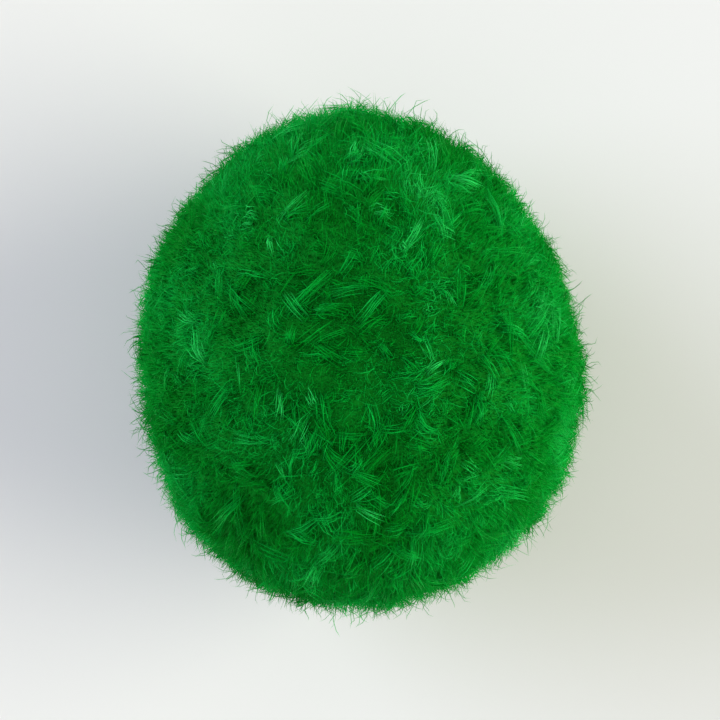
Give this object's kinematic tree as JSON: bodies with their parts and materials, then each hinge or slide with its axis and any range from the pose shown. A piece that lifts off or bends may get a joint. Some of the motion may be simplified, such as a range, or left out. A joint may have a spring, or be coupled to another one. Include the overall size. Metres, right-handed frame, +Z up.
{
  "type": "yarn pom pom",
  "caption": "Fluffy ball of cut yarn, bound at its middle and trimmed slightly egg-shaped, for crafts and trimming; it rests on a small flat spot.",
  "frame": {"origin": "middle of the small flat spot that the ball rests on", "axes": "+Z up from the floor; +Y along the ball's longer way, up the picture; +X across the picture to the right"},
  "size_m": [0.0252, 0.0284, 0.0241],
  "materials": {
    "green_yarn": "soft matt acrylic pile, cut and fluffed, with paler single fibres at its surface"
  },
  "bodies": {
    "root": {"pile": "green_yarn"}
  },
  "joints": []
}
